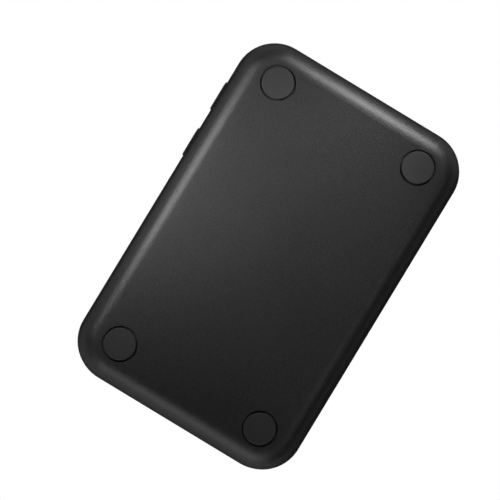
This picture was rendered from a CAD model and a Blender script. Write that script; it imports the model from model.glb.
"""Looks of a two-bay 2.5 inch drive dock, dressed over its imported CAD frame.

Laid out as a Blender add-on and run as a script. Lengths are in metres, written as millimetres times MM.
Z is up, the push buttons face -Y, the ports face +Y and the feet stand on Z = 0.
"""

import math

import bmesh
import bpy
from bpy.props import FloatProperty, FloatVectorProperty, IntProperty, PointerProperty
from mathutils import Matrix, Vector


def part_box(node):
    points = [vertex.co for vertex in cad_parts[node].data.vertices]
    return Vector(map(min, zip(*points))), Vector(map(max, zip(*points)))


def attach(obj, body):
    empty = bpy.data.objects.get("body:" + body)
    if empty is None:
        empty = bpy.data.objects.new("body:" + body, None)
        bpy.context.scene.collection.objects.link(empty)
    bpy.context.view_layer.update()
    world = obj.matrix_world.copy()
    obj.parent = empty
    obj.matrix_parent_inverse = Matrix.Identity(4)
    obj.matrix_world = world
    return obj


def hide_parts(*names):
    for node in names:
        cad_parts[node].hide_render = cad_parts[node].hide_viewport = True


bl_info = {
    "name": "Drive Dock",
    "version": (1, 0, 0),
    "blender": (4, 5, 0),
    "location": "3D View > Sidebar > Drive Dock",
    "description": "Dresses the frame of a two-bay drive dock and sets a studio round it",
    "category": "Object",
}

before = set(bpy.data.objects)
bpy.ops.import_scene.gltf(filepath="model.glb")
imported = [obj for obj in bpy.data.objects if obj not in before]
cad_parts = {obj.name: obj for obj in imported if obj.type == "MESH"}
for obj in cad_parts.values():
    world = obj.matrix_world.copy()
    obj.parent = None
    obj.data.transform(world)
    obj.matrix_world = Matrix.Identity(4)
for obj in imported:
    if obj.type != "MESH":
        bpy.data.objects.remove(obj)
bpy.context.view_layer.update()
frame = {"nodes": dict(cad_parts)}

MM = 0.001
MERGE = 0.001 * MM              # corners nearer than this are one corner


def linear(hex_colour):
    """Turn an sRGB hex colour into linear red, green and blue."""
    channels = [int(hex_colour[start:start + 2], 16) / 255 for start in (1, 3, 5)]
    return [c / 12.92 if c <= 0.04045 else ((c + 0.055) / 1.055) ** 2.4 for c in channels]


def colour_property(name, description, hex_colour):
    """Give a colour setting whose default is an sRGB hex colour."""
    return FloatVectorProperty(name=name, description=description, default=linear(hex_colour),
                               size=3, min=0, max=1, subtype="COLOR")


def length_property(name, description, millimetres):
    """Give a length setting whose default is in millimetres."""
    return FloatProperty(name=name, description=description, default=millimetres * MM,
                         min=0, precision=5, unit="LENGTH", subtype="DISTANCE")


# ---------------------------------------------------------------- settings

class CaseSettings(bpy.types.PropertyGroup):
    """Finish of the two case shells."""
    colour: colour_property("Colour", "Colour of the moulded case", "#1f1f1f")
    grain: length_property("Grain", "Width of one bump of the moulded grain", 0.42)
    grain_depth: length_property("Grain depth", "Height of the moulded grain", 0.08)
    roughness: FloatProperty(name="Roughness", description="Roughness of the moulded case",
                             default=0.43, min=0, max=1, subtype="FACTOR")


class FootSettings(bpy.types.PropertyGroup):
    """Shape and finish of the four feet."""
    colour: colour_property("Colour", "Colour of the rubber feet", "#202020")
    edge: length_property("Edge", "Radius of a foot's lower edge", 0.22)
    segments: IntProperty(name="Segments", description="Sides of a foot's circle", default=96, min=12)


class ButtonSettings(bpy.types.PropertyGroup):
    """Shape and finish of the two push buttons."""
    colour: colour_property("Colour", "Colour of the button caps", "#2a2a2a")
    edge: length_property("Edge", "Radius round a button's face", 0.5)
    dish: length_property("Dish", "Depth of the hollow that the finger rests in", 0.12)


class MarkSettings(bpy.types.PropertyGroup):
    """Printed numbers and symbols."""
    colour: colour_property("Colour", "Colour of the printed marks", "#8d9194")
    small: length_property("Small figures", "Height of the figures over the windows", 1.7)
    large: length_property("Large figures", "Height of the figures beside the wells", 4.2)
    ink: length_property("Ink", "Thickness of the print", 0.01)


class StageSettings(bpy.types.PropertyGroup):
    """Floor, lamps and camera."""
    floor_colour: colour_property("Floor", "Colour of the floor", "#e9e9e9")
    floor_size: FloatProperty(name="Floor size", description="Side of the square floor", default=6.0,
                              min=1, unit="LENGTH")
    ambient: FloatProperty(name="Ambient", description="Strength of the light from all round",
                           default=0.45, min=0, max=1)
    lens: FloatProperty(name="Lens", description="Focal length of the camera in millimetres",
                        default=602, min=10)
    distance: FloatProperty(name="Distance", description="Distance of the camera", default=2.4, min=0.2,
                            unit="LENGTH")


class DockSettings(bpy.types.PropertyGroup):
    """All settings of the drive dock."""
    case: PointerProperty(type=CaseSettings, name="Case", description="Case shells")
    feet: PointerProperty(type=FootSettings, name="Feet", description="Feet")
    buttons: PointerProperty(type=ButtonSettings, name="Buttons", description="Push buttons")
    marks: PointerProperty(type=MarkSettings, name="Marks", description="Printed marks")
    stage: PointerProperty(type=StageSettings, name="Stage", description="Floor, lamps and camera")


# ---------------------------------------------------------------- materials

def add_node(tree, kind, inputs=None, **settings):
    """Add a node with its settings, and link or set each input that is given by name or number."""
    made = tree.nodes.new(kind)
    for name, value in settings.items():
        setattr(made, name, value)
    for name, value in (inputs or {}).items():
        if isinstance(value, bpy.types.NodeSocket):
            tree.links.new(value, made.inputs[name])
        else:
            made.inputs[name].default_value = value
    return made


def start_material(name, **constants):
    """Start a material, with constant sockets of its surface set, and give it, its tree and its surface."""
    material = bpy.data.materials.new(name)
    material.use_nodes = True
    tree = material.node_tree
    surface = tree.nodes["Principled BSDF"]
    for socket, value in constants.items():
        surface.inputs[socket.replace("_", " ")].default_value = value
    return material, tree, surface


def noise(tree, width, detail=2.0, roughness=0.5, stretch=(1, 1, 1)):
    """Give noise whose bumps are about one width across, stretched along any axis given more than 1."""
    place = add_node(tree, "ShaderNodeTexCoord").outputs["Object"]
    squeeze = [1 / (width * factor) for factor in stretch]
    mapping = add_node(tree, "ShaderNodeMapping", {"Vector": place, "Scale": squeeze})
    inputs = {"Vector": mapping.outputs["Vector"], "Scale": 1.0, "Detail": detail, "Roughness": roughness}
    return add_node(tree, "ShaderNodeTexNoise", inputs).outputs["Fac"]


def spread(tree, value, low, high):
    """Map the middle of a noise's range onto low to high."""
    inputs = {"Value": value, "From Min": 0.3, "From Max": 0.7, "To Min": low, "To Max": high}
    return add_node(tree, "ShaderNodeMapRange", inputs).outputs["Result"]


def shade_between(tree, value, dark, light):
    """Mix two linear colours by a noise."""
    inputs = {0: spread(tree, value, 0, 1), 6: (*dark, 1), 7: (*light, 1)}
    return add_node(tree, "ShaderNodeMix", inputs, data_type="RGBA").outputs[2]


def dress_surface(tree, surface, colour, texture, tone, roughness, drift, depth):
    """Vary a surface's colour and height with a texture, and let its roughness drift slowly."""
    dark = [channel * (1 - tone) for channel in colour]
    light = [channel * (1 + tone) for channel in colour]
    tree.links.new(shade_between(tree, texture, dark, light), surface.inputs["Base Color"])
    patches = noise(tree, 30 * MM, detail=1.0)
    rough = spread(tree, patches, roughness - drift, roughness + drift)
    tree.links.new(rough, surface.inputs["Roughness"])
    relief = add_node(tree, "ShaderNodeBump", {"Height": texture, "Distance": depth, "Strength": 1.0})
    tree.links.new(relief.outputs["Normal"], surface.inputs["Normal"])


def moulded_abs(settings):
    """Case: black ABS from a spark-eroded tool, whose even grain spreads the gloss into a satin sheen.

    The real grain is near 0.1 mm across, and is drawn coarser so that it shows.
    """
    material, tree, surface = start_material("moulded_abs", IOR=1.54, Specular_IOR_Level=0.4)
    grain = noise(tree, settings.grain, detail=2.0, roughness=0.7)
    dress_surface(tree, surface, settings.colour, grain, tone=0.6, roughness=settings.roughness,
                  drift=0.02, depth=settings.grain_depth)
    return material


def polyurethane(settings):
    """Feet: soft polyurethane, cast smooth, with a dull skin that picks up a little dust."""
    material, tree, surface = start_material("cast_polyurethane", IOR=1.5)
    dust = noise(tree, 1.6 * MM, detail=4.0, roughness=0.6)
    dress_surface(tree, surface, settings.colour, dust, tone=0.06, roughness=0.62, drift=0.03,
                  depth=0.004 * MM)
    return material


def satin_abs(settings):
    """Buttons: ABS from a vapour-blasted tool, smoother than the case and a little glossier."""
    material, tree, surface = start_material("satin_abs", IOR=1.54)
    grain = noise(tree, 0.25 * MM, detail=2.0)
    dress_surface(tree, surface, settings.colour, grain, tone=0.1, roughness=0.42, drift=0.03,
                  depth=0.006 * MM)
    return material


def filled_nylon():
    """Sockets, switches and inlet: glass-filled nylon, matt black with short fibre flecks."""
    material, tree, surface = start_material("glass_filled_nylon", IOR=1.53)
    flecks = noise(tree, 0.15 * MM, detail=3.0, roughness=0.7, stretch=(1, 3, 1))
    dress_surface(tree, surface, linear("#1a1a1b"), flecks, tone=0.3, roughness=0.55, drift=0.04,
                  depth=0.006 * MM)
    return material


def liquid_crystal_polymer():
    """Tongue and plungers: liquid crystal polymer, dark grey with a faint flow pattern."""
    material, tree, surface = start_material("liquid_crystal_polymer", IOR=1.6)
    flow = noise(tree, 0.4 * MM, detail=2.0, stretch=(1, 5, 1))
    dress_surface(tree, surface, linear("#2f3236"), flow, tone=0.15, roughness=0.45, drift=0.04,
                  depth=0.004 * MM)
    return material


def plated_metal(name, hex_colour, roughness, stretch, depth):
    """Plated sheet or wire: bright metal with a fine drawn texture along its length.

    One coat serves gold on contacts, tin on the port, nickel on the pin, zinc on screws and bare cans.
    """
    material, tree, surface = start_material(name, Metallic=1.0)
    lines = noise(tree, 0.08 * MM, detail=2.0, roughness=0.6, stretch=stretch)
    dress_surface(tree, surface, linear(hex_colour), lines, tone=0.07, roughness=roughness, drift=0.04,
                  depth=depth)
    return material


def solder_mask():
    """Board: glass-epoxy laminate under green solder mask, with the cloth's weave faintly raised."""
    material, tree, surface = start_material("solder_mask", IOR=1.55)
    place = add_node(tree, "ShaderNodeTexCoord").outputs["Object"]
    weave = add_node(tree, "ShaderNodeTexWave", {"Vector": place, "Scale": 1 / (2 * MM)}).outputs["Fac"]
    dress_surface(tree, surface, linear("#1d5a35"), weave, tone=0.12, roughness=0.35, drift=0.03,
                  depth=0.01 * MM)
    return material


def moulded_epoxy():
    """Chips and coils: silica-filled epoxy, charcoal and matt, with a fine tool texture."""
    material, tree, surface = start_material("moulded_epoxy", IOR=1.55)
    grit = noise(tree, 0.2 * MM, detail=3.0, roughness=0.7)
    dress_surface(tree, surface, linear("#27282a"), grit, tone=0.15, roughness=0.6, drift=0.03,
                  depth=0.008 * MM)
    return material


def clear_resin(name, hex_colour, roughness):
    """Light guide and lamps: clear resin, polished outside, with a faint haze that glows when lit."""
    material, tree, surface = start_material(name, IOR=1.49, Transmission_Weight=0.7)
    haze = noise(tree, 0.8 * MM, detail=2.0)
    dress_surface(tree, surface, linear(hex_colour), haze, tone=0.05, roughness=roughness, drift=0.04,
                  depth=0.003 * MM)
    return material


def pad_print(settings):
    """Marks: two-part pad-printing ink, thin, dull and slightly uneven at its edges."""
    material, tree, surface = start_material("pad_print_ink", IOR=1.5)
    speckle = noise(tree, 0.15 * MM, detail=3.0, roughness=0.7)
    dress_surface(tree, surface, settings.colour, speckle, tone=0.1, roughness=0.6, drift=0.03,
                  depth=0.003 * MM)
    return material


# ---------------------------------------------------------------- modelling

def select_only(piece):
    """Select one object alone and make it the active one."""
    bpy.ops.object.select_all(action="DESELECT")
    piece.select_set(True)
    bpy.context.view_layer.objects.active = piece


def new_piece(name, primitive, **placing):
    """Add a primitive at its size and place and name it."""
    bpy.ops.object.select_all(action="DESELECT")
    primitive(**placing)
    piece = bpy.context.object
    piece.name = piece.data.name = name
    return piece


def pick(piece, faces=None, edges=None):
    """In edit mode, select only the faces or edges that pass a test."""
    bpy.ops.mesh.select_mode(type="FACE" if faces else "EDGE")
    bpy.ops.mesh.select_all(action="DESELECT")
    mesh = bmesh.from_edit_mesh(piece.data)
    for item in mesh.faces if faces else mesh.edges:
        if (faces or edges)(item):
            item.select_set(True)
    mesh.select_flush_mode()
    bmesh.update_edit_mesh(piece.data)


def settle(piece, smooth=35):
    """Leave edit mode, move the object's place into its mesh and shade its curves smooth."""
    bpy.ops.object.mode_set(mode="OBJECT")
    select_only(piece)
    bpy.ops.object.transform_apply(location=True, rotation=True, scale=True)
    bpy.ops.object.shade_smooth_by_angle(angle=math.radians(smooth))


def weight_normals(piece):
    """Let large flat faces keep their own normals where they run into a rounding."""
    select_only(piece)
    bpy.ops.object.modifier_add(type="WEIGHTED_NORMAL")
    piece.modifiers[-1].keep_sharp = True
    bpy.ops.object.modifier_apply(modifier=piece.modifiers[-1].name)


def smooth_copy(node, name, smooth=30):
    """Copy a CAD node's mesh, merge its loose triangles and shade its curves smooth."""
    piece = bpy.data.objects.new(name, frame["nodes"][node].data.copy())
    bpy.context.collection.objects.link(piece)
    select_only(piece)
    if piece.data.has_custom_normals:
        bpy.ops.mesh.customdata_custom_splitnormals_clear()
    bpy.ops.object.mode_set(mode="EDIT")
    bpy.ops.mesh.select_all(action="SELECT")
    bpy.ops.mesh.remove_doubles(threshold=MERGE)
    bpy.ops.object.mode_set(mode="OBJECT")
    bpy.ops.object.shade_smooth_by_angle(angle=math.radians(smooth))
    weight_normals(piece)
    return piece


def paint(piece, material):
    """Give a piece or node one material all over."""
    if not piece.material_slots:
        piece.data.materials.append(material)
    for slot in piece.material_slots:
        slot.material = material


def hand_over(piece, body, slot, material, *nodes):
    """Let a finished piece ride on its body, stand for its CAD nodes and wear its material."""
    paint(piece, material)
    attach(piece, body)
    if nodes:
        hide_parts(*nodes)


def middle(node):
    """Give the centre of a CAD node's box and its size."""
    low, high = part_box(node)
    return (low + high) / 2, high - low


def copy_to(piece, name, shift):
    """Copy a finished piece under another name, with its own mesh moved by a distance."""
    twin = bpy.data.objects.new(name, piece.data.copy())
    twin.data.transform(Matrix.Translation(shift))
    bpy.context.collection.objects.link(twin)
    return twin


# ---------------------------------------------------------------- pieces

class DOCK_OT_case(bpy.types.Operator):
    """Dress the base shell and the top cover as grained plastic mouldings"""
    bl_idname = "dock.case"
    bl_label = "Case"

    def execute(self, context):
        material = moulded_abs(context.scene.drive_dock.case)
        for node in ("base_shell", "top_cover"):
            hand_over(smooth_copy(node, f"{node}_moulding"), "chassis", "case_plastic", material, node)
        return {"FINISHED"}


class DOCK_OT_feet(bpy.types.Operator):
    """Model one rounded rubber foot and set a copy in each seat"""
    bl_idname = "dock.feet"
    bl_label = "Feet"

    def execute(self, context):
        settings = context.scene.drive_dock.feet
        material = polyurethane(settings)
        places = {node: middle(node) for node in frame["nodes"] if node.startswith("foot_")}
        first, (centre, size) = next(iter(places.items()))
        foot = new_piece(f"{first}_pad", bpy.ops.mesh.primitive_cylinder_add, vertices=settings.segments,
                         radius=size.x / 2, depth=size.z, location=centre)
        bpy.ops.object.mode_set(mode="EDIT")
        pick(foot, edges=lambda edge: all(v.co.z < 0 for v in edge.verts))
        bpy.ops.mesh.bevel(offset=settings.edge, segments=5, profile=0.5)
        pick(foot, faces=lambda face: face.normal.z < -0.99)
        bpy.ops.mesh.inset(thickness=0.6 * settings.edge)
        settle(foot)
        weight_normals(foot)
        for node, (place, _) in places.items():
            pad = foot if node == first else copy_to(foot, f"{node}_pad", place - centre)
            hand_over(pad, "chassis", "foot_rubber", material, node)
        return {"FINISHED"}


# The part of a button behind the wall, as the frame has it.
FLANGE_MARGIN = 1.1 * MM
FLANGE_THICK = 1.0 * MM
STEM_LENGTH = 1.9 * MM
STEM_WIDTH = 2.8 * MM
NEARLY_FULL = 0.999             # share of the half height that the ends are rounded by
DISH_STEPS = ((0.25, 0), (0.5, 0.7), (0.4, 0.3))    # inset in mm, and share of the dish's depth


class DOCK_OT_buttons(bpy.types.Operator):
    """Model one push-button cap on its flange, with a soft edge and a shallow dish, and copy it"""
    bl_idname = "dock.buttons"
    bl_label = "Buttons"

    def execute(self, context):
        settings = context.scene.drive_dock.buttons
        material = satin_abs(settings)
        centre, size = middle("power_button")
        front = centre.y - size.y / 2
        flange_back = centre.y + size.y / 2 - STEM_LENGTH
        flange_front = flange_back - FLANGE_THICK
        cap = new_piece("power_button_cap", bpy.ops.mesh.primitive_cube_add, size=1,
                        location=(centre.x, (flange_front + flange_back) / 2, centre.z),
                        scale=(size.x, FLANGE_THICK, size.z))
        bpy.ops.object.transform_apply(location=True, rotation=True, scale=True)

        # Round the block's ends into a pill for the flange.
        bpy.ops.object.mode_set(mode="EDIT")
        pick(cap, edges=lambda edge: abs(edge.verts[0].co.y - edge.verts[1].co.y) > FLANGE_THICK / 2)
        bpy.ops.mesh.bevel(offset=size.z / 2 * NEARLY_FULL, segments=16)
        bpy.ops.mesh.select_all(action="SELECT")
        bpy.ops.mesh.remove_doubles(threshold=0.01 * MM)

        # Raise the cap out of it, round its edge and sink the dish.
        pick(cap, faces=lambda face: face.normal.y < -0.99)
        bpy.ops.mesh.inset(thickness=FLANGE_MARGIN)
        bpy.ops.mesh.extrude_region_move(TRANSFORM_OT_translate={"value": (0, front - flange_front, 0)})
        nearly = front + MERGE
        pick(cap, edges=lambda edge: all(v.co.y < nearly for v in edge.verts))
        bpy.ops.mesh.bevel(offset=settings.edge, segments=6)
        pick(cap, faces=lambda face: face.normal.y < -0.999 and face.calc_center_median().y < nearly)
        for step, share in DISH_STEPS:
            bpy.ops.mesh.inset(thickness=step * MM)
            bpy.ops.transform.translate(value=(0, settings.dish * share, 0))

        # Draw the stem out of the flange's back.
        pick(cap, faces=lambda face: face.normal.y > 0.99)
        bpy.ops.mesh.inset(thickness=(size.z - STEM_WIDTH) / 2)
        squeeze = STEM_WIDTH / (size.x - size.z + STEM_WIDTH)
        bpy.ops.transform.resize(value=(squeeze, 1, 1), center_override=(centre.x, flange_back, centre.z))
        bpy.ops.mesh.extrude_region_move(TRANSFORM_OT_translate={"value": (0, STEM_LENGTH, 0)})
        settle(cap)
        weight_normals(cap)
        for use in ("power", "copy"):
            place, _ = middle(f"{use}_button")
            piece = cap if use == "power" else copy_to(cap, f"{use}_button_cap", place - centre)
            hand_over(piece, f"{use}_key", "button_plastic", material, f"{use}_button")
        return {"FINISHED"}


class DOCK_OT_sockets(bpy.types.Operator):
    """Finish the drive sockets and their contacts"""
    bl_idname = "dock.sockets"
    bl_label = "Drive sockets"

    def execute(self, context):
        nylon = filled_nylon()
        gold = plated_metal("gold_flash", "#d9a441", 0.28, (1, 1, 6), 0.002 * MM)
        for node, thing in frame["nodes"].items():
            if node.startswith("sata_socket") or node.endswith("_switch"):
                paint(thing, nylon)
            elif "contacts" in node:
                paint(thing, gold)
        return {"FINISHED"}


class DOCK_OT_ports(bpy.types.Operator):
    """Finish the data port and the power inlet"""
    bl_idname = "dock.ports"
    bl_label = "Ports"

    def execute(self, context):
        nodes = frame["nodes"]
        polymer = liquid_crystal_polymer()
        nickel = plated_metal("nickel_plate", "#b8b3a8", 0.22, (1, 5, 1), 0.002 * MM)
        paint(nodes["usb_shell"], plated_metal("tin_plate", "#b9babb", 0.32, (1, 8, 1), 0.003 * MM))
        for node in ("usb_tongue", "power_plunger", "copy_plunger"):
            paint(nodes[node], polymer)
        inlet = smooth_copy("power_inlet_body", "power_inlet_moulding")
        hand_over(inlet, "chassis", "socket_plastic", filled_nylon(), "power_inlet_body")
        pin = smooth_copy("power_inlet_pin", "power_inlet_centre_pin")
        hand_over(pin, "chassis", "pin_nickel", nickel, "power_inlet_pin")
        paint(nodes["power_inlet_spring"], nickel)
        return {"FINISHED"}


class DOCK_OT_board(bpy.types.Operator):
    """Finish the circuit board, what is soldered to it and the screws"""
    bl_idname = "dock.board"
    bl_label = "Board and screws"

    def execute(self, context):
        nodes = frame["nodes"]
        epoxy = moulded_epoxy()
        zinc = plated_metal("zinc_plate", "#a9adb0", 0.35, (1, 1, 3), 0.003 * MM)
        aluminium = plated_metal("drawn_aluminium", "#bfc1c4", 0.3, (1, 1, 8), 0.002 * MM)
        paint(nodes["main_board"], solder_mask())
        for node in ("bridge_chip", "memory_chip", "power_inductors"):
            paint(nodes[node], epoxy)
        for node in ("crystal", "capacitors"):
            paint(nodes[node], aluminium)
        for node in ("case_screws", "board_screws"):
            paint(nodes[node], zinc)
        return {"FINISHED"}


class DOCK_OT_lights(bpy.types.Operator):
    """Finish the status lamps and the light guide behind their windows"""
    bl_idname = "dock.lights"
    bl_label = "Status lights"

    def execute(self, context):
        paint(frame["nodes"]["status_lamps"], clear_resin("water_clear_epoxy", "#efeccd", 0.15))
        acrylic = clear_resin("clear_acrylic", "#e2e6e8", 0.12)
        guide = smooth_copy("light_guide", "light_guide_moulding")
        hand_over(guide, "chassis", "guide_clear", acrylic, "light_guide")
        return {"FINISHED"}


FONT_HEIGHT = 0.7               # height of a figure in Blender's own font, for a size of 1
LAMP_WIDTH = 1.6 * MM
WINDOW_FIGURES = ("25", "50", "75", "100")
WELL_FIGURES = (("1", "front"), ("2", "rear"))
FACING_FRONT = (math.radians(90), 0, 0)
FACING_UP = (0, 0, 0)
# Places of the marks, and radius of the power symbol, in heights of the figures beside them.
OVER_WINDOWS = 3.0
OVER_BUTTON = 1.2
FROM_END = 2.6
PAST_SOCKET = 0.3
SYMBOL_RADIUS = 0.6
# Power symbol, in radii of its ring.
RING_BORE = 0.76
BAR_WIDTH = 0.26
BAR_MIDDLE = 0.7
GAP_SLOPE = 0.6                 # tangent of half the gap's angle
ON_FRONT, IN_TOP = 0.4, -0.4    # place of the ink's middle outside the wall, in thicknesses of ink


def print_figure(text, height, ink, place, turn):
    """Print a figure as thin raised ink, centred on a place."""
    bpy.ops.object.select_all(action="DESELECT")
    bpy.ops.object.text_add(location=place, rotation=turn)
    figure = bpy.context.object
    figure.data.body = text
    figure.data.size = height / FONT_HEIGHT
    figure.data.align_x = figure.data.align_y = "CENTER"
    figure.data.extrude = ink / 2
    bpy.ops.object.convert(target="MESH")
    return bpy.context.object


def join_pieces(name, pieces):
    """Join several objects into the first and name it."""
    select_only(pieces[0])
    for piece in pieces:
        piece.select_set(True)
    bpy.ops.object.join()
    pieces[0].name = pieces[0].data.name = name
    return pieces[0]


def print_power_symbol(radius, ink, place, turn):
    """Print an open ring with a bar through its gap, as thin raised ink, centred on a place."""
    ring = new_piece("power_symbol", bpy.ops.mesh.primitive_circle_add, vertices=72, radius=radius)
    bpy.ops.object.mode_set(mode="EDIT")
    pick(ring, edges=lambda edge: all(abs(v.co.x) < GAP_SLOPE * v.co.y for v in edge.verts))
    bpy.ops.mesh.delete(type="EDGE")
    bpy.ops.mesh.select_all(action="SELECT")
    bpy.ops.mesh.extrude_edges_move()
    bpy.ops.transform.resize(value=(RING_BORE, RING_BORE, 1), center_override=(0, 0, 0))
    bpy.ops.object.mode_set(mode="OBJECT")
    bar = new_piece("power_bar", bpy.ops.mesh.primitive_plane_add, size=radius,
                    location=(0, BAR_MIDDLE * radius, 0))
    bar.scale.x = BAR_WIDTH
    bpy.ops.object.transform_apply(location=True, rotation=True, scale=True)
    symbol = join_pieces("power_symbol", [ring, bar])
    bpy.ops.object.modifier_add(type="SOLIDIFY")
    thickness = symbol.modifiers[-1]
    thickness.thickness, thickness.offset = ink, 0
    bpy.ops.object.modifier_apply(modifier=thickness.name)
    bpy.ops.object.mode_set(mode="EDIT")
    bpy.ops.mesh.select_all(action="SELECT")
    bpy.ops.mesh.normals_make_consistent(inside=False)
    bpy.ops.object.mode_set(mode="OBJECT")
    symbol.location, symbol.rotation_euler = place, turn
    return symbol


class DOCK_OT_marks(bpy.types.Operator):
    """Print plain figures by the windows and the drive wells, and a power symbol over its button"""
    bl_idname = "dock.marks"
    bl_label = "Marks"

    def execute(self, context):
        settings = context.scene.drive_dock.marks
        small, large, ink = settings.small, settings.large, settings.ink
        case_low, case_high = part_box("top_cover")
        front, top = case_low.y - ON_FRONT * ink, case_high.z + IN_TOP * ink

        lamps_low, lamps_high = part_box("status_lamps")
        first = lamps_low.x + LAMP_WIDTH / 2
        pitch = (lamps_high.x - LAMP_WIDTH / 2 - first) / len(WINDOW_FIGURES)
        row = middle("light_guide")[0].z + OVER_WINDOWS * small
        figures = [print_figure(text, small, ink, (first + index * pitch, front, row), FACING_FRONT)
                   for index, text in enumerate(WINDOW_FIGURES, start=1)]
        marks = [join_pieces("window_figures", figures)]

        button, size = middle("power_button")
        over_button = (button.x, front, button.z + size.z / 2 + OVER_BUTTON * small)
        marks.append(print_power_symbol(SYMBOL_RADIUS * small, ink, over_button, FACING_FRONT))

        beside_well = case_low.x + FROM_END * large
        figures = []
        for text, well in WELL_FIGURES:
            line = middle(f"sata_socket_{well}")[0].y + PAST_SOCKET * large
            figures.append(print_figure(text, large, ink, (beside_well, line, top), FACING_UP))
        marks.append(join_pieces("well_figures", figures))

        material = pad_print(settings)
        for mark in marks:
            settle(mark)
            hand_over(mark, "chassis", "case_plastic", material)
        return {"FINISHED"}


# ---------------------------------------------------------------- stage

# The camera under the case: what lies to its right and its top, and the way from the case to it.
VIEW_RIGHT = Vector((0.518, 0.8554, 0))
VIEW_UP = Vector((0.8554, -0.518, 0))
VIEW_BACK = Vector((-0.027, 0, -1))
# Point that it looks at, in mm to the right and the top of the case's middle, and above the floor.
AIM_RIGHT = -5.31
AIM_UP = 1.82
AIM_HEIGHT = 7

# Hole that the floor leaves under the case for light from below: how far outside each side of the
# case it starts to close, and where it is closed, in mm.
HOLE = {"left": (7, 9), "right": (2, 3), "front": (1, 2), "rear": (-6, -1)}
# Black card round the case in reflections: where it starts and ends to fade, in half lengths of the
# case from its middle.
CARD_FULL, CARD_END = 1.6, 2.4
CARD_COLOUR = (0.05, 0.05, 0.05, 1)
# Where the floor starts and ends to fade into the white backdrop, in the same measure.
FLOOR_FULL, FLOOR_END = 4, 8

# What a ray meets beyond the floor, by the height of its direction: where the sky starts, where the
# white wall fades out, and how bright the sky over it is in reflections and where it fades out.
SKY_START = 0.02
WALL_FULL, WALL_END = 0.04, 0.12
SHEEN = 0.26
SHEEN_FULL, SHEEN_END = 0.6, 0.9
# That sky lies beyond both ends of the case: where it starts and is full, by the square of how far a
# ray's direction leans to an end.
SIDEWAYS_START, SIDEWAYS_FULL = 0.04, 0.35

# Softboxes: place, point that it faces, width and height in mm, power in W and spread of its grid in degrees.
SOFTBOXES = {
    "front_strip_below": ((8, -84, -86), (8, -30, 3), (60, 40), 0.028, 75),
    "end_box_below": ((150, 8, -78), (60, 3, 3), (36, 85), 0.0226, 36),
    "far_end_fill_below": ((-400, 60, -240), (-50, 0, 3), (300, 300), 0.72, 180),
    "rear_strip_below": ((0, 96, -96), (0, 35, 3), (100, 10), 0.0012, 26),
    "key_above": ((-308, -396, 757), (0, 0, 10), (500, 500), 7.5, 180),
    "fill_above": ((505, 303, 818), (0, 0, 10), (500, 500), 3.2, 180),
}


def ramp(tree, value, start, end):
    """Rise from 0 to 1 as a value goes from start to end."""
    inputs = {"Value": value, "From Min": start, "From Max": end}
    return add_node(tree, "ShaderNodeMapRange", inputs).outputs["Result"]


def combine(tree, operation, first, second):
    """Work out one step of arithmetic on two values."""
    return add_node(tree, "ShaderNodeMath", {0: first, 1: second}, operation=operation).outputs[0]


def floor_hole(tree, place, ray):
    """Give 1 in the hole under the case and 0 outside it, to shadow rays and glossy rays alone."""
    low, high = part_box("base_shell")
    x, y, _ = add_node(tree, "ShaderNodeSeparateXYZ", {0: place}).outputs
    sides = {"left": (x, low.x, -MM), "right": (x, high.x, MM),
             "front": (y, low.y, -MM), "rear": (y, high.y, MM)}
    hole = combine(tree, "MAXIMUM", ray["Is Shadow Ray"], ray["Is Glossy Ray"])
    for side, (across, edge, outwards) in sides.items():
        opened, closed = (edge + outwards * distance for distance in HOLE[side])
        hole = combine(tree, "MULTIPLY", hole, ramp(tree, across, closed, opened))
    return hole


def floor_paint(colour):
    """Floor: pale matt card, seen only from above.

    Light from below comes through a hole in it under the case. Near the case it is dark in
    reflections, as if black card lay there. Far from the case it fades into the white backdrop.
    """
    material, tree, surface = start_material("pale_card", Specular_IOR_Level=0.0)
    fibre = noise(tree, 1.5 * MM, detail=3.0)
    dress_surface(tree, surface, colour, fibre, tone=0.01, roughness=0.9, drift=0.02, depth=0.01 * MM)
    ray = add_node(tree, "ShaderNodeLightPath").outputs
    back = add_node(tree, "ShaderNodeNewGeometry").outputs["Backfacing"]
    place = add_node(tree, "ShaderNodeTexCoord").outputs["Object"]
    away = add_node(tree, "ShaderNodeVectorMath", {0: place}, operation="LENGTH").outputs["Value"]
    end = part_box("base_shell")[1].x
    near = ramp(tree, away, CARD_END * end, CARD_FULL * end)
    far = ramp(tree, away, FLOOR_FULL * end, FLOOR_END * end)
    far = combine(tree, "MULTIPLY", far, ray["Is Camera Ray"])
    gone = combine(tree, "MAXIMUM", far, floor_hole(tree, place, ray))
    unseen = combine(tree, "MAXIMUM", back, gone)
    dark = add_node(tree, "ShaderNodeBsdfDiffuse", {"Color": CARD_COLOUR}).outputs["BSDF"]
    darkened = combine(tree, "MULTIPLY", near, ray["Is Glossy Ray"])
    card = add_node(tree, "ShaderNodeMixShader", {0: darkened, 1: surface.outputs["BSDF"], 2: dark})
    clear = add_node(tree, "ShaderNodeBsdfTransparent").outputs["BSDF"]
    mixed = add_node(tree, "ShaderNodeMixShader", {0: unseen, 1: card.outputs[0], 2: clear})
    tree.links.new(mixed.outputs[0], tree.nodes["Material Output"].inputs["Surface"])
    return material


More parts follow.
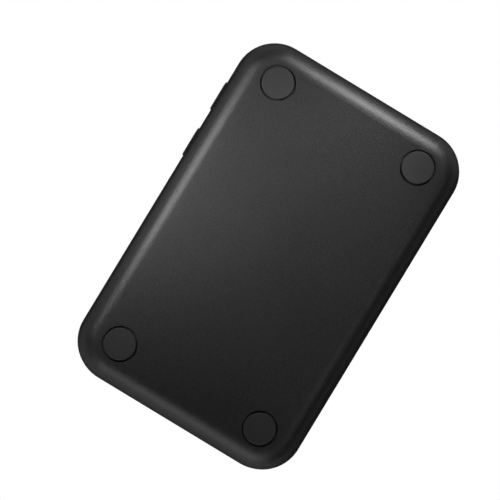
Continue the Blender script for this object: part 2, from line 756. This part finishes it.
def paint_world(ambient):
    """World: a white backdrop behind the object, a grey ceiling over it and nothing under the floor.

    Reflections show the backdrop as a low white wall, with a dim sky over it at both ends.
    """
    world = bpy.data.worlds.new("studio")
    world.use_nodes = True
    bpy.context.scene.world = world
    tree = world.node_tree
    place = add_node(tree, "ShaderNodeTexCoord").outputs["Generated"]
    sideways, _, height = add_node(tree, "ShaderNodeSeparateXYZ", {0: place}).outputs
    above = ramp(tree, height, -SKY_START, SKY_START)
    beyond = ramp(tree, combine(tree, "MULTIPLY", sideways, sideways), SIDEWAYS_START, SIDEWAYS_FULL)
    sheen = combine(tree, "MULTIPLY", ramp(tree, height, SHEEN_END, SHEEN_FULL), SHEEN)
    sheen = combine(tree, "MULTIPLY", sheen, beyond)
    wall = combine(tree, "MAXIMUM", ramp(tree, height, WALL_END, WALL_FULL), sheen)
    ray = add_node(tree, "ShaderNodeLightPath").outputs
    mirrored = combine(tree, "MAXIMUM", ray["Is Glossy Ray"], ray["Is Transmission Ray"])
    mirrored = combine(tree, "MULTIPLY", mirrored, combine(tree, "MULTIPLY", above, wall))
    grey = combine(tree, "MULTIPLY", combine(tree, "MULTIPLY", above, ambient), ray["Is Diffuse Ray"])
    strength = combine(tree, "MAXIMUM", combine(tree, "MAXIMUM", ray["Is Camera Ray"], mirrored), grey)
    tree.links.new(strength, tree.nodes["Background"].inputs["Strength"])
    tree.nodes["Background"].inputs["Color"].default_value = (1, 1, 1, 1)


def hang_softbox(name, place, target, size, power, spread):
    """Hang a rectangular softbox facing a point, with a grid in front that narrows its light.

    One that shines down stays out of reflections, which show the dim sky in its place. Otherwise it
    would glare off the case's outline when that is seen from below.
    """
    place, target = Vector(place) * MM, Vector(target) * MM
    turn = (place - target).to_track_quat("Z", "Y").to_euler()
    bpy.ops.object.light_add(type="AREA", location=place, rotation=turn)
    lamp = bpy.context.object
    lamp.name = name
    lamp.data.shape = "RECTANGLE"
    lamp.data.size, lamp.data.size_y = size[0] * MM, size[1] * MM
    lamp.data.energy = power
    lamp.data.spread = math.radians(spread)
    lamp.visible_camera = False
    lamp.visible_glossy = place.z < target.z


class DOCK_OT_stage(bpy.types.Operator):
    """Lay the floor, light the object and set the camera under it"""
    bl_idname = "dock.stage"
    bl_label = "Stage"

    def execute(self, context):
        settings = context.scene.drive_dock.stage
        floor = new_piece("floor", bpy.ops.mesh.primitive_plane_add, size=settings.floor_size)
        paint(floor, floor_paint(settings.floor_colour))
        paint_world(settings.ambient)
        for name, plan in SOFTBOXES.items():
            hang_softbox(name, *plan)

        aim = (VIEW_RIGHT * AIM_RIGHT + VIEW_UP * AIM_UP + Vector((0, 0, AIM_HEIGHT))) * MM
        bpy.ops.object.camera_add()
        camera = context.object
        camera.data.lens = settings.lens
        back = VIEW_BACK.normalized()
        right = VIEW_UP.cross(back).normalized()
        turn = Matrix((right, back.cross(right), back)).transposed().to_4x4()
        camera.matrix_world = Matrix.Translation(aim + back * settings.distance) @ turn
        context.scene.camera = camera
        context.scene.view_settings.view_transform = "Standard"
        return {"FINISHED"}


# ---------------------------------------------------------------- panel and registering

PIECES = (DOCK_OT_case, DOCK_OT_feet, DOCK_OT_buttons, DOCK_OT_sockets, DOCK_OT_ports, DOCK_OT_board,
          DOCK_OT_lights, DOCK_OT_marks, DOCK_OT_stage)
GROUPS = ("case", "feet", "buttons", "marks", "stage")


class DOCK_PT_panel(bpy.types.Panel):
    """Sidebar panel with the dock's settings and pieces"""
    bl_idname = "DOCK_PT_panel"
    bl_label = "Drive Dock"
    bl_space_type = "VIEW_3D"
    bl_region_type = "UI"
    bl_category = "Drive Dock"

    def draw(self, context):
        settings = context.scene.drive_dock
        for group in GROUPS:
            box = self.layout.box()
            box.label(text=group.capitalize())
            owner = getattr(settings, group)
            for name in owner.__annotations__:
                box.prop(owner, name)
        for piece in PIECES:
            self.layout.operator(piece.bl_idname)


CLASSES = (CaseSettings, FootSettings, ButtonSettings, MarkSettings, StageSettings, DockSettings,
           *PIECES, DOCK_PT_panel)


def register():
    """Register every class and hang the settings on the scene."""
    for item in CLASSES:
        bpy.utils.register_class(item)
    bpy.types.Scene.drive_dock = PointerProperty(type=DockSettings)


def unregister():
    """Take the settings and every class away again."""
    del bpy.types.Scene.drive_dock
    for item in reversed(CLASSES):
        bpy.utils.unregister_class(item)


def main():
    """Make every piece and the stage."""
    register()
    bpy.ops.dock.case()
    bpy.ops.dock.feet()
    bpy.ops.dock.buttons()
    bpy.ops.dock.sockets()
    bpy.ops.dock.ports()
    bpy.ops.dock.board()
    bpy.ops.dock.lights()
    bpy.ops.dock.marks()
    bpy.ops.dock.stage()


if __name__ == "__main__":
    main()
